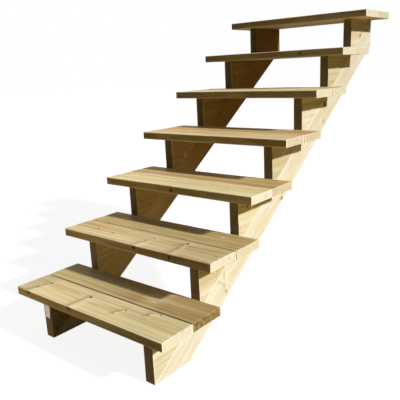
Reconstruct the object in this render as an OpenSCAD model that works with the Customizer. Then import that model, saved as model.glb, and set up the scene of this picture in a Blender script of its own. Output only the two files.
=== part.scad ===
// Outdoor timber stair: open treads of two boards each on two built-up strings.
// Each string is a sloping plank with a row of triangular step blocks fixed along its top edge.
// Every piece is cut from planed timber with eased long edges.
// Millimetres. X runs across the stair, Y climbs towards the wall, Z is up.
// The origin is the middle of the top tread's back edge, in the plane of the wall.

/* [Flight] */
// Number of steps
steps = 7; // [3:1:9]
// Rise from one tread to the next
rise = 171; // [140:1:200]
// Going: horizontal distance from one riser line to the next
going = 248; // [220:1:300]

/* [Treads] */
// Length of a tread, across the stair
tread_length = 770; // [600:1:1100]
// Thickness of a tread board
tread_thickness = 32; // [22:1:48]
// How far a tread stands proud of the step block under it
nosing = 47; // [20:1:70]
// Gap between the front and back boards of a tread
board_gap = 3; // [1:0.5:10]
// How far a tread's end stands out past the string's outer face
tread_overhang = 91; // [30:1:140]

/* [Strings] */
// Thickness of the planks and step blocks
string_thickness = 41; // [28:1:60]
// Width of the sloping plank, square to the pitch
plank_width = 101; // [80:1:160]

/* [Finish] */
// Radius of the eased long edges of a tread board
tread_arris = 3; // [1:0.5:6]
// Radius of the eased long edges of the planks and step blocks
string_arris = 2; // [1:0.5:6]

/* [Hidden] */
SIDES = ["left", "right"];
ROWS = ["front", "back"];

plank_colour = "#e0cf9f";
block_colour = "#d8c48f";
tread_colours = [["front", "#d6bf8c"], ["back", "#bba273"]];
arris_fn = 48;

// A tread fills the notch from its nosing back to the next step block
tread_depth = going + nosing;
board_width = (tread_depth - board_gap) / 2;

// Pitch of the flight, its length along the plank, the height of the plank's plumb cut,
// and the spare timber that the end cuts take off
pitch = atan2(rise, going);
pitch_length = steps * norm([rise, going]);
plumb_height = plank_width / cos(pitch);
cut_allowance = plank_width;

// Levels and distances from the origin: the wall is at Y 0, and the ground is below
wall_y = 0;
ground = -tread_thickness / 2 - steps * rise;

// Line of the first step block's upright face
first_riser_y = wall_y - steps * going;

// Outer and inner faces of the string on the right-hand side
string_outer = tread_length / 2 - tread_overhang;
string_inner = string_outer - string_thickness;

function riser_y(i) = first_riser_y + (i - 1) * going;
function seat_z(i) = ground + i * rise;
function string_x(side) = side == "left" ? -string_outer : string_inner;
function colour_of(row) = tread_colours[search([row], tread_colours)[0]][1];

// Section of planed timber with its four corners eased, from the origin to [width, thickness]
module eased_section(width, thickness, arris) {
    translate([arris, 0])
        square([width - 2 * arris, thickness]);
    translate([0, arris])
        square([width, thickness - 2 * arris]);
    for (y = [arris, width - arris])
        for (z = [arris, thickness - arris])
            translate([y, z])
                circle(r = arris, $fn = arris_fn);
}

// Length of string timber on the right of the Y axis: it runs along +Y, its width hangs below Z 0
module string_timber(width, length) {
    rotate([-90, 0, 0])
        linear_extrude(length)
            eased_section(string_thickness, width, string_arris);
}

// Everything below the line of the pitch, from the foot of step i's upright face
module below_pitch(i) {
    translate([-string_thickness, riser_y(i), seat_z(i) - rise])
        rotate([pitch, 0, 0])
            translate([0, -going, -2 * rise])
                cube([3 * string_thickness, 4 * going, 2 * rise]);
}

// Sloping plank: hangs below the line of the pitch, level cut at the foot and plumb cut at the wall
module plank(side) {
    color(plank_colour)
        translate([string_x(side), 0, 0])
            intersection() {
                translate([0, first_riser_y, ground])
                    rotate([pitch, 0, 0])
                        translate([0, -cut_allowance, 0])
                            string_timber(plank_width, pitch_length + 2 * cut_allowance);
                translate([-string_thickness, first_riser_y - going, ground])
                    cube([3 * string_thickness, wall_y - first_riser_y + going, steps * rise + plumb_height]);
            }
}

// Step block: level seat for the tread, upright face below its nosing, long side on the plank
module step_block(side, i) {
    color(block_colour)
        translate([string_x(side), 0, 0])
            difference() {
                translate([0, riser_y(i), seat_z(i)])
                    string_timber(rise + cut_allowance, going + cut_allowance);
                below_pitch(i);
            }
}

// One of the two boards of tread i, on its step blocks and against the next pair
module tread_board(i, row) {
    front_y = riser_y(i) - nosing;
    y = row == "front" ? front_y : front_y + board_width + board_gap;
    color(colour_of(row))
        translate([-tread_length / 2, y, seat_z(i)])
            rotate([90, 0, 90])
                linear_extrude(tread_length)
                    eased_section(board_width, tread_thickness, tread_arris);
}

for (side = SIDES) {
    plank(side);
    for (i = [1:steps])
        step_block(side, i);
}

for (i = [1:steps])
    for (row = ROWS)
        tread_board(i, row);
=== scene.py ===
"""Dresses an outdoor timber stair: tread boards, step blocks and planks in treated pine, on a pale stage.

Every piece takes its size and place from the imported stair, is worked out with numpy as a closed bar, and
stands for the solid of the same name. The pine is one procedural finish that follows the log each piece was
sawn from.
"""
import math
from collections import namedtuple
from functools import partial
from itertools import product
from types import SimpleNamespace

import bpy
import numpy as np
from bpy.props import FloatProperty, FloatVectorProperty, PointerProperty
from mathutils import Matrix, Vector


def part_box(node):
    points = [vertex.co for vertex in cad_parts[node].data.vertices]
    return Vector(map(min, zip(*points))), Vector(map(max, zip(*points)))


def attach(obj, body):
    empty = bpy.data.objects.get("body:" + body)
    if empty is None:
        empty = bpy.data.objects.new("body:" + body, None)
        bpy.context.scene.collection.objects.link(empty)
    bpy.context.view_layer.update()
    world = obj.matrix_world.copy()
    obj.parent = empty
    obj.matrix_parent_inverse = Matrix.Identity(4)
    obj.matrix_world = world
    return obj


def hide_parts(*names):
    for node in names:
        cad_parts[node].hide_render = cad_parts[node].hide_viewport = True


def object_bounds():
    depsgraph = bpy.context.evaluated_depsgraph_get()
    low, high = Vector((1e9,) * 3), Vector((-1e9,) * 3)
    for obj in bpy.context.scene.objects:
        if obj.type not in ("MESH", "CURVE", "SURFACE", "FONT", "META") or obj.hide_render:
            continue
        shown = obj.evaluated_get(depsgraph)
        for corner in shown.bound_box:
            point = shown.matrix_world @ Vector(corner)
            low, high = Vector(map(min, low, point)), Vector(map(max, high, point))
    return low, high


bl_info = {
    "name": "Outdoor Timber Stair",
    "version": (1, 0, 0),
    "blender": (4, 5, 0),
    "location": "3D View > Sidebar > Stair",
    "description": "Treated pine boards, step blocks and planks for an outdoor stair, with a stage",
    "category": "Object",
}

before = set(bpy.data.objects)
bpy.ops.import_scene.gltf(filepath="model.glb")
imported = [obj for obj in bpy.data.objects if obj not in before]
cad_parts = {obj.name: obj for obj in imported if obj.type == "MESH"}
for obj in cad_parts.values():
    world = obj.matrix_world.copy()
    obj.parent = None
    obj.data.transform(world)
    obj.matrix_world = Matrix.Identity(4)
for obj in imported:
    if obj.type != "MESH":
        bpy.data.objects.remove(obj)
CAD_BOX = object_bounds()

MM = 0.001
SIDES = ("left", "right")
ROWS = ("front", "back")
STEPS = sum(name.startswith("left_block_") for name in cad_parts)
STEP_NUMBERS = range(1, STEPS + 1)
GROUND = CAD_BOX[0].z
SEED = 7

# Divisions of a mesh: along a side of its outline, along the bar, and of its caps; then those of an arc
Divisions = namedtuple("Divisions", "side stations rings")
TREAD_MESH = Divisions(12, 72, 8)
TORN_MESH = Divisions(40, 72, 16)
BLOCK_MESH = Divisions(24, 6, 12)
PLANK_MESH = Divisions(10, 180, 6)
LABEL_MESH = Divisions(10, 2, 10)
ARC_STEPS = 4
# Flat strip beside every arris, so that the flats shade flat and the edge wear and its painted highlight
# stay on the edge
SHOULDER = 2.5 * MM

# Directions of a piece's timber as rows: along the grain, across it, and through it
PITCH_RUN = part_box("left_plank")[1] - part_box("left_plank")[0]
PITCH = math.atan2(PITCH_RUN.z, PITCH_RUN.y)
TREAD_AXES = np.eye(3)
BLOCK_AXES = np.array([(0, 1, 0), (0, 0, -1), (1, 0, 0)], float)
PLANK_AXES = np.array(
    [(0, math.cos(PITCH), math.sin(PITCH)), (0, math.sin(PITCH), -math.cos(PITCH)), (1, 0, 0)], float
)

# Board whose right end is torn instead of sawn, and the wave lengths of the torn fibres
TORN_NODE = "tread_1_back"
TORN_WAVES = (44 * MM, 17 * MM, 7 * MM)

# Where the pith runs in the section of a board from the heart of the log: across and up, in mm
PITH = {
    "tread_1_front": (95, 27),
    "tread_2_front": (102, 25),
    "tread_3_front": (93, 12.6),
    "tread_4_front": (88, 20),
}

# Knots, as the heart and the bark end of a branch in the timber (along, across, up), the radius at each
# end and the depth of colour. Lengths are in mm from the left end, the front edge and the underside of
# a board, from the front, the seat and the left face of a step block, and from the foot, the top edge and
# the left face of a plank.
KNOTS = {
    "tread_1_front": [
        ((96, 94, 31), (72, -4, 29), (5.5, 13), 1),
        ((327, 98, 31), (320, -4, 29), (6.5, 11), 1),
        ((516, 92, 31), (496, 60, 35), (6, 7), 1),
        ((640, 134, 31), (612, 118, 35), (5, 9), 0.9),
    ],
    "tread_1_back": [((520, 40, 31), (560, 44, 34), (2, 5), 0.03)],
    "tread_2_front": [
        ((426, 102, 31), (408, -4, 24), (3.5, 10), 1),
        ((575, 118, 31), (587, -4, 19), (6, 9), 1),
        ((104, 146, 4), (105, 141, 36), (3, 4.5), 0.6),
        ((132, 78, 20), (128, 70, 36), (4, 5), 0.9),
        ((231, 70, 18), (231, 60, 36), (3, 5), 0.8),
        ((742, 78, 20), (744, 66, 36), (3, 4.5), 0.8),
    ],
    "tread_2_back": [
        ((216, 50, -10), (216, 52, 38), (3, 4), 0.3),
        ((310, 22, -10), (310, 17, 38), (3, 5), 0.6),
        ((636, 94, -10), (640, 92, 38), (4, 6), 0.15),
    ],
    "tread_3_front": [
        ((362, 128, 24), (384, -4, 15), (3, 9), 1),
        ((34, 118, 8), (38, 110, 36), (3, 5), 0.6),
        ((605, 90, 10), (620, 60, 38), (2.5, 4.5), 0.6),
    ],
    "tread_4_back": [((136, 60, -10), (138, 62, 38), (4, 6), 0.2)],
    "tread_6_front": [((552, 90, 20), (560, -4, 15), (3, 6), 0.9)],
    "right_plank": [
        ((436, 81, 41), (496, -4, 44), (6, 10), 0.6),
        ((450, 54, 42), (434, 4, 43), (3, 6), 0.4),
        ((920, 84, 10), (926, 95, 46), (5, 9), 0.8),
        ((1452, 10, 10), (1456, 20, 46), (4, 10), 1),
        ((1400, 60, 10), (1404, 75, 46), (3, 6), 0.7),
    ],
    "right_block_7": [((112, 68, 0), (108, 77, 46), (4, 7), 0.9)],
    "left_block_4": [((80, 62, 30), (90, 96, 44), (4, 8), 0.9)],
}
# Places for branches in the finish of each piece; a branch that is not there lies far off
KNOT_PLACES = 6
FAR_OFF = 50.0

# Tone of a piece, at shares of its length: depth of colour, warmth of heartwood and green cast; on the
# left string depth and warmth are painted shade
TONES = {
    "tread_1_front": [
        (0, 0.25, 0, 0.45), (0.09, 0.2, 0, 0.35), (0.15, 0, 0, 0.1), (0.5, 0, 0, 0.1),
        (0.8, 0.1, 0, 0.3), (1, 0, 0, 0.3),
    ],
    "tread_1_back": [
        (0, 0, 0, 0.35), (0.45, 0.1, 0, 0.3), (0.62, 0.2, 0.2, 0), (0.67, -0.05, 0, 0.2),
        (0.72, -0.05, 0, 0.2), (0.78, 0.25, 0.2, 0), (1, 0.3, 0.3, 0),
    ],
    "tread_2_front": [
        (0, 0, 0.1, 0), (0.55, 0.1, 0.05, 0.1), (0.75, 0.4, 0.2, 0), (0.99, 0.4, 0.2, 0), (1, 0, 0, 0)
    ],
    "tread_2_back": [(0, 0, 0.1, 0.1), (0.5, 0.1, 0.15, 0.1), (0.99, 0.25, 0.2, 0.1), (1, 0, 0.1, 0)],
    "tread_3_front": [(0, -0.12, 0, 0.2), (1, -0.12, 0, 0.3)],
    "tread_3_back": [(0, 0, 0.3, 0)],
    "tread_4_front": [(0, 0.03, 0.25, 0)],
    "tread_4_back": [(0, 0, 0.3, 0)],
    "tread_5_front": [(0, 0.1, 0, 0.3)],
    "tread_6_front": [(0, 0.1, 0.35, 0), (1, 0.1, 0, 0.3)],
    "tread_7_front": [(0, 0, 0, 0.3), (1, 0, 0.1, 0.2)],
    # Left string: the deep, warm tone that grows towards the head is painted shade on its inner face
    "left_plank": [
        (0.15, -0.5, 0.3, 0), (0.32, -0.1, 0.5, 0), (0.47, 0.4, 0.7, 0), (0.62, 0.8, 1, 0), (1, 1, 1, 0)
    ],
    "left_block_1": [(0, 0.4, 0, 0.5), (0.04, 0.2, 0.5, 0.2), (1, 0.8, 0.8, 0)],
    "left_block_2": [(0, 0.4, 0, 0.5), (0.04, -0.5, 0.15, 0.2), (1, -0.4, 0.2, 0.1)],
    "left_block_3": [(0, 0.4, 0, 0.5), (0.04, -0.1, 0.4, 0.4), (1, 0, 0.5, 0.1)],
    "left_block_4": [(0, 0.2, 0.2, 0.2), (0.04, 0, 0.7, 0), (1, 0.3, 0.7, 0)],
    "left_block_5": [(0, 0.4, 0, 0.5), (0.04, 0.4, 0.7, 0.4), (1, 0.9, 1, 0)],
    "left_block_6": [(0, 0.4, 0, 0.5), (0.04, 0.5, 0.8, 0.4), (1, 0.9, 1, 0)],
    "left_block_7": [(0, 0.8, 0.5, 0), (0.04, 0.9, 1, 0), (1, 1, 1, 0)],
    "right_block_3": [(0, -0.1, 0.1, 0.1)],
    "right_plank": [(0, 0, 0, 0.1), (0.5, 0, 0, 0.2), (0.8, 0.1, 0.1, 0.1)],
}

# Drawn for a piece without a row above, from least to most: the pith in shares of the section, its lean,
# the number of branches, their places in shares of the length, their sweep along the log and their radii at
# heart and bark in mm, their depth of colour, and the tone
DRAWN = SimpleNamespace(
    pith=((-0.3, -2.2), (1.3, -0.4)),
    lean=(-0.012, 0.012),
    branches=(1, 3),
    place=(0.06, 0.94),
    sweep=(-15, 25),
    radii=((2, 4.5), (3, 7.5)),
    depth=(0.5, 1),
    tone=((-0.05, 0, 0), (0.2, 0.25, 0.3)),
)
# How far a drawn branch reaches past the point of the section that it aims for
BRANCH_REACH = 25 * MM

# Form of a branch: the knot's edge, the resin and the bark line in radii from the axis; the cut from along
# the axis to square across it; the heart in shares of the length; how much of the bark line shows in a cut
# along the axis; and the bell that swells the rings and lays painted shade and a painted highlight on the
# flanks
BRANCH = SimpleNamespace(
    edge=(0.6, 1.2),
    resin=(0.9, 2.8),
    bark_line=0.3,
    cut=(0.25, 0.85),
    heart=(0.02, 0.16),
    bark_along=0.35,
    bell=0.42,
    swell=1.6,
    flank_fall=2.4,
    flank_at_heart=0.7,
)

# How strongly each part of the finish shows: a factor, or the two ends of a ramp. The flank of a branch is
# painted shade on its dark side and a painted highlight on its pale side, where it counts down.
STRENGTH = SimpleNamespace(
    ring=(0.1, 0.7),
    years=(0.1, 0.75),
    preservative=1.6,
    fresh_cut=0.75,
    # Share of the painted shade on a front face, in patches
    front_face_shade=(0.4, 0.7),
    # Painted shade and painted highlight on the two flanks of a spike
    painted_flank_shade=0.75,
    painted_flank_highlight=-0.65,
    fibre_light=(1.03, 0.87),
    tone_light=(1.5, 0.5),
    torn=0.8,
    resin=0.4,
    knot=(0.45, 1.0),
    bark_line=0.55,
    pith=0.7,
    # Pale edge wear on the arrises, with a painted highlight
    rubbed_and_highlight=0.75,
    grime=0.85,
    ring_relief=0.5,
    knot_relief=0.18,
    roughness=(0.6, 0.76),
    specular=0.07,
)
# Ranges that the ramps of the finish read: the cosines of an end and of a front face, which takes painted
# shade, the middle of each noise, the darkness at which a knot shows in full, and the depth of tone that
# hides a rubbed arris and its painted highlight
RAMP = SimpleNamespace(
    end=(0.5, 0.9),
    front=(-0.95, -0.6),
    noise=(0.33, 0.67),
    slow=(0.3, 0.7),
    years=(0.35, 0.65),
    dark=(0.0, 0.6),
    deep=(0.0, 0.6),
)
# Power that sharpens the late side of a ring, and waves per metre of the rings' slow wander
RING_POWER = 1.6
SLOW_WANDER = (3.0, 9.0, 9.0)
SMOOTH = {"interpolation_type": "SMOOTHSTEP"}
# The label's paper: the range of its mottling and how pale that is, the pulp's bump, and the gloss
PAPER = SimpleNamespace(noise=(0.3, 0.7), damp=(0.82, 1.0), pulp=0.3, roughness=0.35, coat_roughness=0.25)


def linear(hex_colour):
    """Linear RGBA of an sRGB hex colour."""
    srgb = np.array([int(hex_colour[i:i + 2], 16) for i in (1, 3, 5)]) / 255
    return (*np.where(srgb <= 0.04045, srgb / 12.92, ((srgb + 0.055) / 1.055) ** 2.4).tolist(), 1)


def amount(name, description, default, **kind):
    """A number that the user can change."""
    return FloatProperty(name=name, description=description, default=default, **kind)


def numbers(name, description, default, **kind):
    """A row of numbers that the user can change."""
    size = len(default)
    return FloatVectorProperty(name=name, description=description, default=default, size=size, **kind)


def colour(name, description, hex_colour):
    """A colour that the user can change."""
    return numbers(name, description, linear(hex_colour), subtype="COLOR", min=0, max=1)


def length(name, description, millimetres):
    """A length that the user can change, in metres."""
    return amount(name, description, millimetres * MM, subtype="DISTANCE", unit="LENGTH")


def position(name, description, metres):
    """A place that the user can change, in metres."""
    return numbers(name, description, metres, subtype="TRANSLATION", unit="LENGTH")


class StairTimber(bpy.types.PropertyGroup):
    """Edges of the timber and the log that it was sawn from"""

    tread_arris: length("Tread arris", "Radius of the eased long edges of a tread board", 3)
    string_arris: length("String arris", "Radius of the eased long edges of planks and step blocks", 2)
    sawn_arris: length("Sawn arris", "Radius of an edge that the saw left", 0.8)
    block_corner: length("Block corner", "Radius of the corners of a step block", 0.96)
    board_set: length("Board set", "How far a board may have bowed or cupped as it dried", 0.6)
    torn_depth: length("Torn end", "Depth of the torn fibres at the rough end of the lowest back board", 4)
    grime_reach: length("Grime", "How far the grime in the gap between two boards spreads", 5)
    clean_end: length("Clean end", "Distance from a board's end at which the grime is full", 20)
    ring_width: length("Ring width", "Growth of the pine in one year", 5.5)
    ring_wander: length("Ring wander", "How far the rings wander along a board", 9)
    year_width: length("Year group", "Width of a group of good or poor years, which shows from afar", 22)
    fibre_width: length("Fibre width", "Width of the fine streaks", 2.4)
    fibre_length: length("Fibre length", "Length of the fine streaks", 130)
    streak_width: length("Streak width", "Width of the broad streaks", 15)
    streak_length: length("Streak length", "Length of the broad streaks", 420)
    patch_width: length("Patch width", "Width of the patches where the preservative shows", 60)
    patch_length: length("Patch length", "Length of the patches where the preservative shows", 240)
    pith_core: length("Pith core", "Radius within which the pith is darkest", 1.4)
    pith_radius: length("Pith", "Radius of the dark pith", 3.5)
    branch_wander: length("Branch wander", "How far the edge of a knot strays from a plain cone", 5)
    branch_bay: length("Branch bay", "Width of a bay in the edge of a knot", 14)
    fibre_relief: length("Relief", "Height of the raised grain", 0.22)


class StairColours(bpy.types.PropertyGroup):
    """Colours of the pine, the label and the stage"""

    front_early: colour("Front boards, pale", "Early wood of the front tread boards", "#efddab")
    front_late: colour("Front boards, dark", "Late wood of the front tread boards", "#a98246")
    # Painted shade on the front face of each front tread board
    front_face_shade: colour("Nosing", "Weathered front face of the front tread boards", "#84691c")
    back_early: colour("Back boards, pale", "Early wood of the back tread boards", "#d2bc86")
    back_late: colour("Back boards, dark", "Late wood of the back tread boards", "#866534")
    tread_end: colour("Tread ends", "Fresh saw cut at the end of a tread board", "#d3cfbb")
    block_early: colour("Step blocks, pale", "Early wood of the step blocks", "#dad6be")
    block_late: colour("Step blocks, dark", "Late wood of the step blocks", "#bb9d62")
    block_end: colour("Block fronts", "Weathered end grain on the front of a step block", "#624a18")
    plank_early: colour("Planks, pale", "Early wood of the planks", "#dad8cd")
    plank_late: colour("Planks, dark", "Late wood of the planks", "#cbbb90")
    plank_end: colour("Plank ends", "Saw cut at the foot and head of a plank", "#b39a66")
    preservative: colour("Preservative", "Green cast of the pressure treatment", "#b9b27c")
    # Warm cast of heartwood, and painted shade on the left string's inner face
    heartwood: colour("Heartwood", "Warm cast that heartwood lays over the pine", "#cfa54e")
    # Pale edge wear with a painted highlight on the arrises, and the painted highlight on a spike's pale
    # flank
    rubbed_and_highlight: colour("Rubbed arris", "Pale fibres where an arris is rubbed", "#f3e7c2")
    resin: colour("Resin", "Resin-rich wood round a knot", "#a87c3c")
    # Painted shade on the dark flank of a spike; also a colour of the torn fibres
    flank: colour("Knot flank", "Dense wood on the near side of a branch that the saw opened", "#8c7746")
    knot_side: colour("Knot, sawn along", "Branch that the saw opened lengthwise", "#ecdcae")
    knot_end: colour("Knot, sawn across", "Branch that the saw cut across", "#4a2d10")
    knot_rim: colour("Knot rim", "Bark line round a knot", "#5a3d1c")
    grime: colour("Grime", "Dirt in the gap between two boards", "#4a330a")
    paper: colour("Label", "Bare paper of the label", "#f8f5ec")
    floor_near: colour("Floor apron", "Pale floor beside the stair, as it lights the stair", "#dfc377")
    floor_far: colour("Floor beyond", "Floor farther off, as it lights the stair", "#3a2b08")
    sky: colour("Sky", "Soft light from overhead", "#d6e0f2")
    card: colour("Cards", "Light of the soft cards", "#ffdfac")


class StairStage(bpy.types.PropertyGroup):
    """Label, light, floor and camera"""

    label_width: length("Label width", "Width of the paper label", 35)
    label_height: length("Label height", "Height of the paper label", 60)
    label_foot: length("Label foot", "Height of the label's lower edge above the ground", 81)
    label_shift: length("Label shift", "Distance of the label from the middle of its block", 0.5)
    label_thickness: length("Label thickness", "Thickness of the paper", 0.4)
    label_arris: length("Label edge", "Radius of the cut edge of the paper", 0.12)
    label_corner: length("Label corner", "Radius of the label's corners", 1.5)
    label_curl: length("Label curl", "How far a lower corner of the label has lifted", 3)
    damp_width: length("Damp", "Width of the mottling that damp left on the paper", 14)
    pulp_width: length("Pulp", "Width of the fine relief of the paper", 0.9)
    pulp_relief: length("Pulp relief", "Height of the fine relief of the paper", 0.05)
    sun_strength: amount("Key light", "Strength of the key light", 4.7, min=0)
    sun_softness: amount("Softness", "Angle that the key light spans", math.radians(3), subtype="ANGLE")
    sun_direction: numbers(
        "Key direction", "Towards the key light", (0.835, 0.09, 0.545), subtype="DIRECTION"
    )
    sky_strength: amount("Fill light", "Strength of the fill overhead", 0.74, min=0)
    floor_glow: amount("Floor glow", "Share of the floor's white that its shadow keeps", 0.89, min=0, max=1)
    floor_white: amount("Floor white", "Share of the floor's white that the lamps give", 0.14, min=0, max=1)
    floor_size: length("Floor size", "Width of the floor", 60000)
    floor_drop: length("Floor drop", "How far the floor lies below the feet, to share no plane", 0.5)
    apron_core: length("Apron core", "Distance up to which the floor is fully pale", 440)
    apron_reach: length("Apron reach", "Distance at which the floor is no longer pale", 2200)
    apron_centre: position("Apron", "Middle of the pale floor", (1.35, CAD_BOX[0].y + 1.0, GROUND))
    foot_card_size: length("Foot card size", "Width of the soft card by the foot", 400)
    foot_card_power: amount(
        "Foot card", "Power of the soft card by the foot", 1.9, subtype="POWER", unit="POWER"
    )
    foot_card_place: position(
        "Foot card place", "Middle of the soft card by the foot", (-0.6, CAD_BOX[0].y - 0.5, GROUND + 0.15)
    )
    back_card_size: length("Back card size", "Width of the soft card behind the stair", 2000)
    back_card_power: amount(
        "Back card", "Power of the soft card behind the stair", 45, subtype="POWER", unit="POWER"
    )
    back_card_place: position(
        "Back card place", "Middle of the soft card behind the stair", (-2.6, 1.6, -0.45)
    )
    lens: amount("Lens", "Focal length", 46.67, subtype="DISTANCE_CAMERA", unit="CAMERA")
    eye: position("Camera", "Place of the camera", (1.38112, -2.77437, -0.22092))
    aim: numbers(
        "Aim", "Tilt, roll and heading of the camera",
        tuple(math.radians(angle) for angle in (-14.134, 2.692, 39.637)), subtype="EULER", unit="ROTATION",
    )


def rounded_outline(corners, radius, mesh):
    """Points, outward normals, arc flags and side numbers of a closed anticlockwise outline with arcs.

    At a corner that turns by an angle, the arc starts radius * tan(angle / 2) before the corner, and its
    centre lies one radius inside that edge. Each side between two arcs has the same number of points, the
    first and last of them one shoulder away from the arcs. The order is corner by corner: an arc, then the
    side that follows it.
    """
    corners = np.asarray(corners, float)
    ahead = np.roll(corners, -1, 0) - corners
    ahead /= np.linalg.norm(ahead, axis=1, keepdims=True)
    behind = np.roll(ahead, 1, 0)
    turn = np.arctan2(behind[:, 0] * ahead[:, 1] - behind[:, 1] * ahead[:, 0], (behind * ahead).sum(1))
    normal_in = np.stack([behind[:, 1], -behind[:, 0]], 1)
    normal_out = np.stack([ahead[:, 1], -ahead[:, 0]], 1)
    centre = corners - behind * (radius * np.tan(turn / 2))[:, None] - normal_in * radius
    swept = turn[:, None] * np.linspace(0, 1, ARC_STEPS + 1)
    angle = np.arctan2(normal_in[:, 1], normal_in[:, 0])[:, None] + swept
    arc_normals = np.stack([np.cos(angle), np.sin(angle)], 2)
    arcs = centre[:, None] + radius * arc_normals
    start, end = arcs[:, -1], np.roll(arcs[:, 0], -1, 0)
    span = np.linalg.norm(end - start, axis=1)[:, None]
    share = (SHOULDER + (span - 2 * SHOULDER) * np.linspace(0, 1, mesh.side)) / span
    sides = start[:, None] + (end - start)[:, None] * share[..., None]
    points = np.concatenate([arcs, sides], 1)
    normals = np.concatenate([arc_normals, np.broadcast_to(normal_out[:, None], sides.shape)], 1)
    on_arc = np.broadcast_to(np.arange(points.shape[1]) <= ARC_STEPS, points.shape[:2])
    number = np.broadcast_to(np.arange(len(corners))[:, None], points.shape[:2])
    return points.reshape(-1, 2), normals.reshape(-1, 2), on_arc.ravel(), number.ravel()


def closed_bar(outline, arris, start, end, mesh):
    """Vertices (along, across, up), faces and arris mask of an outline carried from one cut to another; the
    mask is for edge wear and a painted highlight.

    Stations run from the middle of the start cap to the middle of the end cap. On the caps the outline is
    scaled about its centre. On the arrises it is drawn in by arris * (1 - sin t) and moved along by
    arris * (1 - cos t), with t from 0 to 90 degrees. Between them it is carried evenly. A cut is a constant
    plus a slope with across, so it may be skew. Each cap closes on one middle vertex.
    """
    points, normals, on_arc, _ = outline
    centre = points.mean(0)
    reach = end[0] - start[0]
    t = np.linspace(0, math.pi / 2, ARC_STEPS + 1)
    cap = np.linspace(0, 1, mesh.rings + 1)[1:-1]
    middle = (SHOULDER + (reach - 2 * SHOULDER) * np.linspace(0, 1, mesh.stations)) / reach
    # Rows: the outline's scale, its inset and advance in shares of the arris, and the arris mask for edge
    # wear and a painted highlight
    on_cap = np.stack([cap, np.ones_like(cap), np.zeros_like(cap), np.zeros_like(cap)])
    on_arris = np.stack([np.ones_like(t), 1 - np.sin(t), 1 - np.cos(t), np.ones_like(t)])
    on_side = np.repeat([[1.0], [0.0], [1.0], [0.0]], mesh.stations, 1)
    head = np.concatenate([on_cap, on_arris], 1)
    scale, inset, advance, on_end_arris = np.concatenate([head, on_side, head[:, ::-1]], 1)[..., None]
    carried = np.concatenate([np.zeros(head.shape[1]), middle, np.ones(head.shape[1])])[:, None]
    section = centre + scale[..., None] * (points - normals * (inset * arris)[..., None] - centre)
    across, up = section[..., 0], section[..., 1]
    along = (1 - carried) * (start[0] + start[1] * across + advance * arris)
    along += carried * (end[0] + end[1] * across - advance * arris)
    wear = np.maximum(on_end_arris, on_arc * (scale == 1))
    poles = [[cut[0] + cut[1] * centre[0], *centre] for cut in (start, end)]
    vertices = np.concatenate([np.stack([along, across, up], 2).reshape(-1, 3), poles])
    rows, columns = along.shape
    i, j = np.arange(rows - 1)[:, None] * columns, np.arange(columns)
    k = np.roll(j, -1)
    quads = np.stack(np.broadcast_arrays(i + j, i + k, i + columns + k, i + columns + j), 2).reshape(-1, 4)
    first, last = np.full(columns, rows * columns), np.full(columns, rows * columns + 1)
    top = (rows - 1) * columns
    fans = np.concatenate([np.stack([first, k, j], 1), np.stack([last, top + j, top + k], 1)])
    return vertices, quads.tolist() + fans.tolist(), np.append(wear.ravel(), (0, 0))


def seasoned(vertices, rng, most):
    """The bar after drying: a bow and a crook are parabolas along it, and a cup is a parabola across it."""
    along, across = (2 * (v - v.min()) / np.ptp(v) - 1 for v in vertices[:, :2].T)
    bow, crook, cup = rng.uniform(-most, most, 3)
    moved = vertices.copy()
    moved[:, 1] += crook * (along**2 - 0.5)
    moved[:, 2] += bow * (along**2 - 0.5) + cup * (across**2 - 0.5)
    return moved


def far_end(vertices):
    """1 on the far cap of a bar, falling to 0 at the shoulder beside it."""
    along = vertices[:, 0]
    return np.clip(1 - (along.max() - along) / SHOULDER, 0, 1)


def torn(vertices, rng, depth):
    """The bar with fibres torn out of its far cap: the mean of products of sines across and up it."""
    _, across, up = vertices.T
    relief = np.zeros_like(up)
    for wave in TORN_WAVES:
        phase = rng.uniform(0, math.tau, 2)
        relief += np.sin(math.tau * across / wave + phase[0]) * np.sin(math.tau * up / wave + phase[1])
    moved = vertices.copy()
    moved[:, 0] -= depth * far_end(vertices) * (1 + relief / len(TORN_WAVES)) / 2
    return moved


def gap_grime(vertices, size, row, timber):
    """Grime on a board: full at the gap between two boards, falling away from it and towards the ends."""
    along, across, _ = vertices.T
    from_gap = size[1] - across if row == "front" else across
    from_end = np.minimum(along, size[0] - along)
    return np.clip(1 - from_gap / timber.grime_reach, 0, 1) * np.clip(from_end / timber.clean_end, 0, 1)


def store(mesh, name, values):
    """Keep one number or one vector for each vertex; a single vector is repeated for all of them."""
    values = np.asarray(values, np.float32)
    if values.ndim == 1 and len(values) == len(mesh.vertices):
        mesh.attributes.new(name, "FLOAT", "POINT").data.foreach_set("value", values)
        return
    rows = np.broadcast_to(values, (len(mesh.vertices), 3)).ravel()
    mesh.attributes.new(name, "FLOAT_VECTOR", "POINT").data.foreach_set("vector", rows)


def new_object(name, data):
    """An object in the scene for a mesh, a lamp or a lens."""
    made = bpy.data.objects.new(name, data)
    bpy.context.scene.collection.objects.link(made)
    return made


def new_piece(name, points, faces, material):
    """A smooth mesh object at the origin, with its place in its vertices."""
    mesh = bpy.data.meshes.new(name)
    mesh.from_pydata(points.tolist(), [], faces)
    mesh.shade_smooth()
    mesh.materials.append(material)
    return new_object(name, mesh)


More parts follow.
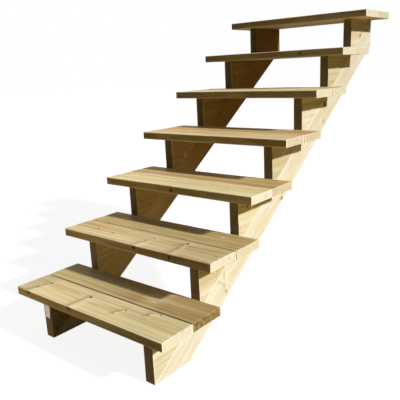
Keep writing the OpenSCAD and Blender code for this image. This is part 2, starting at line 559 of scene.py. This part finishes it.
class Log:
    """The log that a piece was sawn from, in the piece's own coordinates: along the grain, across and up.

    The pith runs along the piece through a point of its section, and leans a little. A knot is a branch: a
    cone from its heart at the pith to its bark, with a radius at each end and a depth of colour.
    """

    def __init__(self, node, corner, axes, size):
        self.node = node
        self.rng = np.random.default_rng([SEED, *node.encode()])
        self.corner, self.axes, self.size = np.array(corner), axes, np.array(size)
        self.pith = self.size[1:] * self.rng.uniform(*DRAWN.pith)
        if node in PITH:
            self.pith = np.array(PITH[node]) * MM
        self.lean = self.rng.uniform(*DRAWN.lean, 2)
        self.knots = KNOTS.get(node) or self.branches(self.rng.integers(*DRAWN.branches, endpoint=True))
        self.tone = TONES.get(node) or [(0, *self.rng.uniform(*DRAWN.tone))]

    def branches(self, count):
        """Branches at random places along the log, each from the pith out through the piece."""
        found = []
        for along in self.rng.uniform(*DRAWN.place, count) * self.size[0]:
            aim = self.size[1:] * self.rng.uniform(0, 1, 2) - self.pith
            bark = self.pith + aim * (1 + BRANCH_REACH / np.linalg.norm(aim))
            heart = np.array([along, *self.pith])
            tip = np.array([along + self.rng.uniform(*DRAWN.sweep) * MM, *bark])
            radii, depth = self.rng.uniform(*DRAWN.radii), self.rng.uniform(*DRAWN.depth)
            found.append((heart / MM, tip / MM, radii, depth))
        return found

    def from_pith(self, place):
        """Places in the timber, measured from the pith."""
        along = place[:, :1] - self.size[0] / 2
        return np.concatenate([place[:, :1], place[:, 1:] - self.pith - along * self.lean], 1)

    def mark(self, mesh, points, wear):
        """Store what the finish reads: the place in the log and in the figure, the arris mask for edge wear
        and a painted highlight, the tone and the knots.
        """
        place = (points - self.corner) @ self.axes.T
        store(mesh, "wood", self.from_pith(place))
        store(mesh, "figure", place + self.rng.uniform(0, FAR_OFF, 3))
        store(mesh, "wear", wear)
        stops, *tones = np.array(self.tone, float).T
        tone = np.stack([np.interp(place[:, 0] / self.size[0], stops, tone) for tone in tones], 1)
        # The tone of a tread goes right through it, and that of string timber fades towards its left face;
        # on the left string the deep, warm tone is painted shade on the inner face
        through = np.clip(place[:, 2:] / self.size[2], 0, 1)
        store(mesh, "tone", tone if self.node.startswith("tread") else tone * through)
        absent = ((FAR_OFF / MM,) * 3, (FAR_OFF / MM, FAR_OFF / MM, 0), (1, 1), 0)
        for number in range(KNOT_PLACES):
            heart, bark, radii, depth = self.knots[number] if number < len(self.knots) else absent
            heart, bark = self.from_pith(np.array([heart, bark]) * MM)
            store(mesh, f"knot_{number}_heart", heart)
            store(mesh, f"knot_{number}_bark", bark)
            store(mesh, f"knot_{number}_form", (radii[0] * MM, radii[1] * MM, depth))


def add_node(tree, kind, *values, named=None, **settings):
    """Add a node with its settings, feed its inputs in order or by name, and return its first output.

    The kind is the node's type without the word ShaderNode. A word before the inputs is the operation of a
    maths node. A socket is linked, and anything else is a value.
    """
    node = tree.nodes.new(kind if kind.startswith("NodeGroup") else f"ShaderNode{kind}")
    if values and isinstance(values[0], str):
        node.operation, *values = values
    for key, value in settings.items():
        setattr(node, key, value)
    feeds = list(zip((socket for socket in node.inputs if socket.enabled), values))
    feeds += [(node.inputs[key], value) for key, value in (named or {}).items()]
    for socket, value in feeds:
        if isinstance(value, bpy.types.NodeSocket):
            tree.links.new(value, socket)
        else:
            socket.default_value = value
    return next((socket for socket in node.outputs if socket.enabled), None)


def with_nodes(owner):
    """A material or a world with its node tree emptied, and the function that adds a node to it."""
    owner.use_nodes = True
    owner.node_tree.nodes.clear()
    return owner, partial(add_node, owner.node_tree)


def branch_nodes():
    """Node group of one branch: whether a point lies in it, how dark its cut is and how it bends the rings.

    The branch is a cone from heart to bark. The nearest point of its axis gives the share t along it, the
    gap to it and the radius there. A cut square to the axis shows dark end grain, and a cut along it a pale
    spike, with painted shade on one flank and a painted highlight on the other: the side times a bell of
    the gap.
    """
    tree = bpy.data.node_groups.new("pine branch", "ShaderNodeTree")
    for name in ("Place", "Facing", "Heart", "Bark", "Form"):
        tree.interface.new_socket(name, in_out="INPUT", socket_type="NodeSocketVector")
    for name in ("Knot", "Dark", "Rim", "Resin", "Flank", "Swell"):
        tree.interface.new_socket(name, in_out="OUTPUT", socket_type="NodeSocketFloat")
    add = partial(add_node, tree)
    place, facing, heart, bark, form, _ = add("NodeGroupInput").node.outputs
    heart_radius, bark_radius, depth = add("SeparateXYZ", form).node.outputs

    # Place on the branch: the share along its axis, and the distance from the axis in radii
    axis = add("VectorMath", "SUBTRACT", bark, heart)
    reach = add("VectorMath", "SUBTRACT", place, heart)
    onto = add("VectorMath", "DOT_PRODUCT", reach, axis)
    squared = add("VectorMath", "DOT_PRODUCT", axis, axis)
    t = add("Math", "DIVIDE", onto, squared, use_clamp=True)
    foot = add("VectorMath", "SCALE", axis, t)
    gap = add("VectorMath", "DISTANCE", reach, foot)
    radius = add("MapRange", t, 0.0, 1.0, heart_radius, bark_radius)
    radii = add("Math", "DIVIDE", gap, radius)

    # The cut: dark where the saw went across the branch and at its heart, with bark and resin round it
    knot = add("MapRange", radii, *BRANCH.edge, 1.0, 0.0, **SMOOTH)
    heading = add("VectorMath", "NORMALIZE", axis)
    square = add("VectorMath", "DOT_PRODUCT", heading, facing)
    square = add("Math", "ABSOLUTE", square)
    across_cut = add("MapRange", square, *BRANCH.cut, **SMOOTH)
    at_heart = add("MapRange", t, *BRANCH.heart, 1.0, 0.0, **SMOOTH)
    dark = add("Math", "MAXIMUM", across_cut, at_heart)
    for factor in (depth, knot):
        dark = add("Math", "MULTIPLY", dark, factor)
    off_rim = add("Math", "SUBTRACT", radii, 1.0)
    off_rim = add("Math", "ABSOLUTE", off_rim)
    rim = add("MapRange", off_rim, 0.0, BRANCH.bark_line, 1.0, 0.0, **SMOOTH)
    resin = add("MapRange", radii, *BRANCH.resin, 1.0, 0.0, **SMOOTH)
    outlined = add("MapRange", across_cut, 0.0, 1.0, BRANCH.bark_along, 1.0)
    outlined = add("Math", "MULTIPLY", outlined, depth)
    rim, resin = (add("Math", "MULTIPLY", part, outlined) for part in (rim, resin))

    # The bell of the gap swells the rings, and with the side of the branch it gives the painted shade and
    # the painted highlight on the flanks of a spike
    spread = add("Math", "MULTIPLY", radii, radii)
    spread = add("Math", "MULTIPLY", spread, -BRANCH.bell**2)
    bell = add("Math", "EXPONENT", spread)
    swell = add("Math", "MULTIPLY", bell, radius)
    swell = add("Math", "MULTIPLY", swell, BRANCH.swell)
    side = add("VectorMath", "SUBTRACT", foot, reach)
    side = add("SeparateXYZ", side).node.outputs["X"]
    flank = add("Math", "DIVIDE", side, radius)
    near = add("Math", "POWER", bell, BRANCH.flank_fall)
    outward = add("MapRange", t, 0.0, 1.0, BRANCH.flank_at_heart, 1.0)
    along_cut = add("MapRange", across_cut, 0.0, 1.0, depth, 0.0)
    for factor in (near, outward, along_cut):
        flank = add("Math", "MULTIPLY", flank, factor)
    add("NodeGroupOutput", knot, dark, rim, resin, flank, swell)
    return tree


def treated_pine(name, axes, early, late, sawn_end, front_face_shade=None):
    """Planed, pressure-treated pine: matt, pale early wood with darker late wood in each ring, a green cast
    in patches, fine raised fibres, resin round the knots, and arrises rubbed pale with a painted highlight.
    Beside a spike one flank takes painted shade and the other a painted highlight. A given front face shade
    is painted shade on the front face of a board, in patches, and on the left string's inner face the deep,
    warm tone is painted shade.

    The rings are cylinders round the pith. From the camera a ring is about as fine as a pixel, so groups of
    years and broad streaks carry the figure that the eye sees, and the rings show close up.
    """
    timber, tint = bpy.context.scene.stair_timber, bpy.context.scene.stair_colours
    material, add = with_nodes(bpy.data.materials.new(name))
    wood, figure, tone = (
        add("Attribute", attribute_name=key).node.outputs["Vector"] for key in ("wood", "figure", "tone")
    )
    wear, rough, grime = (
        add("Attribute", attribute_name=key).node.outputs["Fac"] for key in ("wear", "torn", "grime")
    )
    depth, warmth_and_shade, green = add("SeparateXYZ", tone).node.outputs
    normal = add("NewGeometry").node.outputs["Normal"]
    turned = [add("VectorMath", "DOT_PRODUCT", normal, tuple(axis)) for axis in axes]
    facing = add("CombineXYZ", *turned)
    end = add("Math", "ABSOLUTE", turned[0])
    end = add("MapRange", end, *RAMP.end, **SMOOTH)

    # Branches: the strongest of them sets the knot, and together they bend the rings
    group = bpy.data.node_groups.get("pine branch") or branch_nodes()
    stray = add("TexNoise", figure, named={"Scale": 1 / timber.branch_bay, "Detail": 2.0})
    stray = add("VectorMath", "SUBTRACT", stray.node.outputs["Color"], (0.5, 0.5, 0.5))
    stray = add("VectorMath", "SCALE", stray, 2 * timber.branch_wander)
    place = add("VectorMath", "ADD", wood, stray)
    branches = []
    for number in range(KNOT_PLACES):
        parts = [
            add("Attribute", attribute_name=f"knot_{number}_{part}").node.outputs["Vector"]
            for part in ("heart", "bark", "form")
        ]
        branches.append(list(add("Group", place, facing, *parts, node_tree=group).node.outputs))
    total = branches[0]
    joins = ["MAXIMUM"] * 4 + ["ADD"] * 2
    for branch in branches[1:]:
        total = [add("Math", join, a, b) for join, a, b in zip(joins, total, branch)]
    knot, dark, rim, resin, flank, swell = total

    # Noises in the figure, each stretched along the grain
    noises = []
    for wide, long, detail in (
        (timber.fibre_width, timber.fibre_length, 3.0),
        (timber.streak_width, timber.streak_length, 2.0),
        (timber.patch_width, timber.patch_length, 2.0),
    ):
        drawn = add("VectorMath", "MULTIPLY", figure, (1 / long, 1 / wide, 1 / wide))
        noise = add("TexNoise", drawn, named={"Scale": 1.0, "Detail": detail})
        noises.append(add("MapRange", noise, *RAMP.noise))
    fibre, streak, patch = noises

    # Rings: distance from the pith, with a slow wander, less the swelling at the branches
    round_pith = add("VectorMath", "MULTIPLY", wood, (0, 1, 1))
    from_pith = add("VectorMath", "LENGTH", round_pith)
    slow = add("VectorMath", "MULTIPLY", figure, SLOW_WANDER)
    slow = add("TexNoise", slow, named={"Scale": 1.0, "Detail": 1.0})
    wander = add("MapRange", slow, *RAMP.slow, -timber.ring_wander / 2, timber.ring_wander / 2)
    grown = add("Math", "ADD", from_pith, wander)
    grown = add("Math", "SUBTRACT", grown, swell)
    ring = add("Math", "DIVIDE", grown, timber.ring_width)
    ring = add("Math", "FRACT", ring)
    ring = add("Math", "POWER", ring, RING_POWER)
    years = add("Math", "DIVIDE", grown, timber.year_width)
    years = add("TexNoise", named={"W": years, "Scale": 1.0}, noise_dimensions="1D")
    years = add("MapRange", years, *RAMP.years)
    in_ring = add("MapRange", years, 0.0, 1.0, *STRENGTH.ring)
    in_ring = add("Math", "MULTIPLY", in_ring, ring)
    in_years = add("MapRange", years, 0.0, 1.0, *STRENGTH.years)

    # Where the saw and feet have been, with a painted highlight on the rubbed arrises, and the light of the
    # fibres and of the tone, which on the left string's inner face is painted shade
    fresh = add("MapRange", rough, 0.0, 1.0, STRENGTH.fresh_cut, 0.0)
    shown = add("MapRange", dark, *RAMP.dark, *STRENGTH.knot)
    pith = add("MapRange", from_pith, timber.pith_core, timber.pith_radius, STRENGTH.pith, 0.0)
    rubbed_and_highlight = add("MapRange", depth, *RAMP.deep, STRENGTH.rubbed_and_highlight, 0.0)
    fibre_light = add("MapRange", fibre, 0.0, 1.0, *STRENGTH.fibre_light)
    tone_light = add("MapRange", depth, -1.0, 1.0, *STRENGTH.tone_light)
    light = add("Math", "MULTIPLY", fibre_light, tone_light)
    fibres = add("Mix", streak, tint.flank, tint.knot_rim, data_type="RGBA")
    cut = add("Mix", dark, tint.knot_side, tint.knot_end, data_type="RGBA")

    # Coats from the clear wood outwards: how each is laid, its colour, and the shares that it shows at
    coats = [
        ("MIX", late, in_years, streak),
        ("MIX", tint.preservative, patch, green, STRENGTH.preservative),
        ("MIX", sawn_end, fresh, end),
    ]
    if front_face_shade is not None:
        # Painted shade on the front face of a front board, laid in patches
        front = add("MapRange", turned[1], *RAMP.front, 1.0, 0.0)
        front_shade_patches = add("MapRange", patch, 0.0, 1.0, *STRENGTH.front_face_shade)
        coats.append(("MIX", front_face_shade, front, front_shade_patches))
    coats += [
        # Warmth of heartwood, and painted shade on the left string's inner face
        ("MULTIPLY", tint.heartwood, warmth_and_shade),
        # Painted shade on one flank of a spike and a painted highlight on the other
        ("MIX", tint.flank, flank, STRENGTH.painted_flank_shade),
        ("MIX", tint.rubbed_and_highlight, flank, STRENGTH.painted_flank_highlight),
        ("MULTIPLY", light, 1.0),
        ("MIX", fibres, rough, STRENGTH.torn),
        ("MIX", tint.resin, resin, STRENGTH.resin),
        ("MIX", cut, shown, knot),
        ("MIX", tint.knot_rim, rim, STRENGTH.bark_line),
        ("MIX", tint.knot_end, pith, end),
        # Pale edge wear with a painted highlight on the arrises
        ("MIX", tint.rubbed_and_highlight, rubbed_and_highlight, patch, wear),
        ("MIX", tint.grime, grime, STRENGTH.grime),
    ]
    shade = add("Mix", in_ring, early, late, data_type="RGBA")
    for blend, coat, share, *factors in coats:
        for factor in factors:
            share = add("Math", "MULTIPLY", share, factor)
        shade = add("Mix", share, shade, coat, data_type="RGBA", blend_type=blend)

    # Relief in metres: raised late wood and fibres, and wood standing proud where it flows round a branch
    relief = add("Math", "MULTIPLY_ADD", ring, STRENGTH.ring_relief, fibre)
    relief = add("Math", "MULTIPLY", relief, timber.fibre_relief)
    relief = add("Math", "MULTIPLY_ADD", swell, STRENGTH.knot_relief, relief)
    bump = add("Bump", named={"Distance": 1.0, "Height": relief})
    dull = add("MapRange", fibre, 0.0, 1.0, *STRENGTH.roughness)
    surface = {"Base Color": shade, "Roughness": dull, "Normal": bump}
    finish = add("BsdfPrincipled", named={**surface, "IOR": 1.5, "Specular IOR Level": STRENGTH.specular})
    add("OutputMaterial", finish)
    return material


def label_paper():
    """Coated paper with a soft sheen, slightly yellowed, with soft mottling from damp."""
    stage, tint = bpy.context.scene.stair_stage, bpy.context.scene.stair_colours
    material, add = with_nodes(bpy.data.materials.new("coated label paper"))
    place = add("TexCoord").node.outputs["Object"]
    damp = add("TexNoise", place, named={"Scale": 1 / stage.damp_width, "Detail": 3.0})
    shade = add("MapRange", damp, *PAPER.noise, *PAPER.damp)
    shade = add("Mix", 1.0, tint.paper, shade, data_type="RGBA", blend_type="MULTIPLY")
    pulp = add("TexNoise", place, named={"Scale": 1 / stage.pulp_width, "Detail": 2.0})
    bump = add("Bump", named={"Strength": PAPER.pulp, "Distance": stage.pulp_relief, "Height": pulp})
    surface = {"Base Color": shade, "Roughness": PAPER.roughness, "Normal": bump}
    coat = {"Coat Weight": 1.0, "Coat Roughness": PAPER.coat_roughness}
    finish = add("BsdfPrincipled", named={**surface, **coat})
    add("OutputMaterial", finish)
    return material


def seen_directly(add):
    """1 for rays from the camera, from a mirror or through glass, which see the plain white stage."""
    ray = add("LightPath").node.outputs
    seen = add("Math", "MAXIMUM", ray["Is Camera Ray"], ray["Is Glossy Ray"])
    return add("Math", "MAXIMUM", seen, ray["Is Transmission Ray"])


def pale_floor():
    """Plain matt floor, white where the camera sees it lit, with a soft shadow.

    It lights the stair like dry ground, with a pale apron beside the stair and darker ground beyond.
    """
    stage, tint = bpy.context.scene.stair_stage, bpy.context.scene.stair_colours
    material, add = with_nodes(bpy.data.materials.new("matt pale floor"))
    place = add("TexCoord").node.outputs["Object"]
    away = add("VectorMath", "DISTANCE", place, tuple(stage.apron_centre))
    apron = add("MapRange", away, stage.apron_core, stage.apron_reach, 1.0, 0.0, **SMOOTH)
    shade = add("Mix", apron, tint.floor_far, tint.floor_near, data_type="RGBA")
    ground = add("BsdfDiffuse", shade)
    white = add("BsdfDiffuse", (*(stage.floor_white,) * 3, 1))
    glow = add("Emission", (1, 1, 1, 1), stage.floor_glow)
    shown = add("AddShader", white, glow)
    add("OutputMaterial", add("MixShader", seen_directly(add), ground, shown))
    return material


def soft_card(name, place, aim, size, power):
    """A soft square lamp that faces a point; the camera sees its light but not the lamp."""
    lamp = bpy.data.lights.new(name, "AREA")
    lamp.energy, lamp.size, lamp.color = power, size, bpy.context.scene.stair_colours.card[:3]
    card = new_object(name, lamp)
    card.location = place
    card.rotation_euler = (Vector(place) - aim).to_track_quat("Z", "Y").to_euler()
    card.visible_camera = False


def pine_piece(log, bar, place, material):
    """Make the piece that stands for a log's node: a bar, placed by an origin and three directions."""
    node = log.node
    vertices, faces, wear = bar
    origin, directions = place
    points = origin + vertices @ directions
    piece = new_piece(f"{node}_timber", points, faces, material)
    log.mark(piece.data, points, wear)
    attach(piece, "root")
    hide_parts(node)
    return piece


class STAIR_OT_treads(bpy.types.Operator):
    """Lay the front and back boards of every tread"""

    bl_idname = "stair.treads"
    bl_label = "Lay Treads"

    def execute(self, context):
        timber, tint = context.scene.stair_timber, context.scene.stair_colours
        front = (tint.front_early, tint.front_late, tint.tread_end, tint.front_face_shade)
        back = (tint.back_early, tint.back_late, tint.tread_end)
        finish = {
            "front": treated_pine("planed pine, straw", TREAD_AXES, *front),
            "back": treated_pine("planed pine, tan", TREAD_AXES, *back),
        }
        for step, row in product(STEP_NUMBERS, ROWS):
            node = f"tread_{step}_{row}"
            low, high = np.array(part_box(node))
            size = high - low
            long, wide, thick = size
            mesh = TORN_MESH if node == TORN_NODE else TREAD_MESH
            corners = [(0, 0), (wide, 0), (wide, thick), (0, thick)]
            outline = rounded_outline(corners, timber.tread_arris, mesh)
            sawn, faces, wear = closed_bar(outline, timber.sawn_arris, (0, 0), (long, 0), mesh)
            rng = np.random.default_rng([SEED, step, row == "front"])
            vertices = seasoned(sawn, rng, timber.board_set)
            if node == TORN_NODE:
                vertices = torn(vertices, rng, timber.torn_depth)
            log = Log(node, low, TREAD_AXES, size)
            bar = (vertices, faces, wear)
            piece = pine_piece(log, bar, (low, np.eye(3)), finish[row])
            # Most of the grime lies on the lowest tread
            store(piece.data, "grime", gap_grime(sawn, size, row, timber) / step)
            store(piece.data, "torn", far_end(sawn) * (node == TORN_NODE))
        return {"FINISHED"}


class STAIR_OT_blocks(bpy.types.Operator):
    """Set the triangular step blocks on both planks"""

    bl_idname = "stair.blocks"
    bl_label = "Set Step Blocks"

    def execute(self, context):
        timber, tint = context.scene.stair_timber, context.scene.stair_colours
        colours = (tint.block_early, tint.block_late, tint.block_end)
        finish = treated_pine("sawn pine blocks", BLOCK_AXES, *colours)
        # Only the seat has planed arrises; the long side before it and the front after it are sawn
        side_arris = np.array([timber.sawn_arris, timber.string_arris, timber.sawn_arris])
        for side, step in product(SIDES, STEP_NUMBERS):
            node = f"{side}_block_{step}"
            low, high = np.array(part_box(node))
            thick, going, rise = high - low
            outline = rounded_outline([(0, 0), (going, rise), (0, rise)], timber.block_corner, BLOCK_MESH)
            _, _, on_arc, number = outline
            arris = np.where(on_arc, timber.sawn_arris, side_arris[number])
            bar = closed_bar(outline, arris, (0, 0), (thick, 0), BLOCK_MESH)
            seat_corner = (low[0], low[1], high[2])
            log = Log(node, seat_corner, BLOCK_AXES, (going, rise, thick))
            pine_piece(log, bar, (low, np.eye(3)), finish)
        return {"FINISHED"}


class STAIR_OT_planks(bpy.types.Operator):
    """Raise the two sloping planks, cut level at the foot and plumb at the wall"""

    bl_idname = "stair.planks"
    bl_label = "Raise Planks"

    def execute(self, context):
        timber, tint = context.scene.stair_timber, context.scene.stair_colours
        colours = (tint.plank_early, tint.plank_late, tint.plank_end)
        finish = treated_pine("planed pine planks", PLANK_AXES, *colours)
        directions = np.array([PLANK_AXES[0], -PLANK_AXES[1], PLANK_AXES[2]])
        for side in SIDES:
            node = f"{side}_plank"
            low, high = np.array(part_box(node))
            solid = np.array([v.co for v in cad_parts[node].data.vertices])
            wide = ((solid - low) @ PLANK_AXES[1]).max()
            thick = high[0] - low[0]
            run = (high[1] - low[1]) / math.cos(PITCH)
            corners = [(-wide, 0), (0, 0), (0, thick), (-wide, thick)]
            outline = rounded_outline(corners, timber.string_arris, PLANK_MESH)
            foot_cut, wall_cut = (0, -1 / math.tan(PITCH)), (run, math.tan(PITCH))
            bar = closed_bar(outline, timber.sawn_arris, foot_cut, wall_cut, PLANK_MESH)
            log = Log(node, low, PLANK_AXES, (run, wide, thick))
            pine_piece(log, bar, (low, directions), finish)
        return {"FINISHED"}


class STAIR_OT_label(bpy.types.Operator):
    """Stick the bare paper label on the front of the lowest left block"""

    bl_idname = "stair.label"
    bl_label = "Stick Label"

    def execute(self, context):
        stage = context.scene.stair_stage
        low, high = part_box("left_block_1")
        wide, tall, thick = stage.label_width, stage.label_height, stage.label_thickness
        corners = [(0, 0), (wide, 0), (wide, tall), (0, tall)]
        outline = rounded_outline(corners, stage.label_corner, LABEL_MESH)
        vertices, faces, _ = closed_bar(outline, stage.label_arris, (0, 0), (thick, 0), LABEL_MESH)
        # The lower right corner lifts: the square of how far a point lies past the label's diagonal
        past = np.clip(vertices[:, 1] / wide - vertices[:, 2] / tall, 0, 1)
        vertices[:, 0] += stage.label_curl * past**2
        middle = (low.x + high.x) / 2 + stage.label_shift
        origin = (middle - wide / 2, low.y, GROUND + stage.label_foot)
        directions = np.array([(0, -1, 0), (1, 0, 0), (0, 0, 1)], float)
        label = new_piece("paper_label", origin + vertices @ directions, faces, label_paper())
        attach(label, "root")
        return {"FINISHED"}


class STAIR_OT_stage(bpy.types.Operator):
    """Set the floor, the light and the camera"""

    bl_idname = "stair.stage"
    bl_label = "Set Stage"

    def execute(self, context):
        scene, stage, tint = context.scene, context.scene.stair_stage, context.scene.stair_colours
        scene.view_settings.view_transform = "Standard"

        half, level = stage.floor_size / 2, GROUND - stage.floor_drop
        corners = np.array([(x * half, y * half, level) for x, y in ((-1, -1), (1, -1), (1, 1), (-1, 1))])
        new_piece("studio_floor", corners, [(0, 1, 2, 3)], pale_floor())

        scene.world, add = with_nodes(bpy.data.worlds.new("studio"))
        # The fill grows with the cube of the height above the horizon, like a wide lamp overhead
        towards = add("TexCoord").node.outputs["Generated"]
        height = add("SeparateXYZ", towards).node.outputs["Z"]
        height = add("Math", "MAXIMUM", height, 0.0)
        fill = add("Math", "POWER", height, 3.0)
        fill = add("Math", "MULTIPLY", fill, stage.sky_strength)
        soft = add("Background", tint.sky, fill)
        white = add("Background", (1, 1, 1, 1), 1.0)
        add("OutputWorld", add("MixShader", seen_directly(add), soft, white))

        lamp = bpy.data.lights.new("key_light", "SUN")
        lamp.energy, lamp.angle = stage.sun_strength, stage.sun_softness
        key = new_object("key_light", lamp)
        key.rotation_euler = Vector(stage.sun_direction).to_track_quat("Z", "Y").to_euler()

        foot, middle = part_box("left_block_1")[0], (CAD_BOX[0] + CAD_BOX[1]) / 2
        for name, aim in (("foot_card", foot), ("back_card", middle)):
            place, size, power = (getattr(stage, f"{name}_{part}") for part in ("place", "size", "power"))
            soft_card(name, place, aim, size, power)

        lens = bpy.data.cameras.new("camera")
        lens.lens, lens.clip_end = stage.lens, stage.floor_size
        tilt, roll, heading = stage.aim
        # A camera looks along -Z, so it is first tipped up to look along +Y
        stand = Matrix.Translation(stage.eye)
        for angle, axis in ((heading, "Z"), (tilt, "X"), (roll, "Y"), (math.pi / 2, "X")):
            stand = stand @ Matrix.Rotation(angle, 4, axis)
        scene.camera = new_object("camera", lens)
        scene.camera.matrix_world = stand
        return {"FINISHED"}


class STAIR_PT_sidebar(bpy.types.Panel):
    """Buttons and settings of the stair"""

    bl_idname = "STAIR_PT_sidebar"
    bl_label = "Outdoor Timber Stair"
    bl_space_type = "VIEW_3D"
    bl_region_type = "UI"
    bl_category = "Stair"

    def draw(self, context):
        for operator in OPERATORS:
            self.layout.operator(operator.bl_idname)
        for name, group in SETTINGS.items():
            for key in group.__annotations__:
                self.layout.prop(getattr(context.scene, name), key)


SETTINGS = {"stair_timber": StairTimber, "stair_colours": StairColours, "stair_stage": StairStage}
OPERATORS = (STAIR_OT_treads, STAIR_OT_blocks, STAIR_OT_planks, STAIR_OT_label, STAIR_OT_stage)
CLASSES = (*SETTINGS.values(), *OPERATORS, STAIR_PT_sidebar)


def register():
    for kind in CLASSES:
        bpy.utils.register_class(kind)
    for name, group in SETTINGS.items():
        setattr(bpy.types.Scene, name, PointerProperty(type=group))


def unregister():
    for name in SETTINGS:
        delattr(bpy.types.Scene, name)
    for kind in reversed(CLASSES):
        bpy.utils.unregister_class(kind)


def main():
    """Make every piece and the stage."""
    register()
    bpy.ops.stair.treads()
    bpy.ops.stair.blocks()
    bpy.ops.stair.planks()
    bpy.ops.stair.label()
    bpy.ops.stair.stage()


if __name__ == "__main__":
    main()
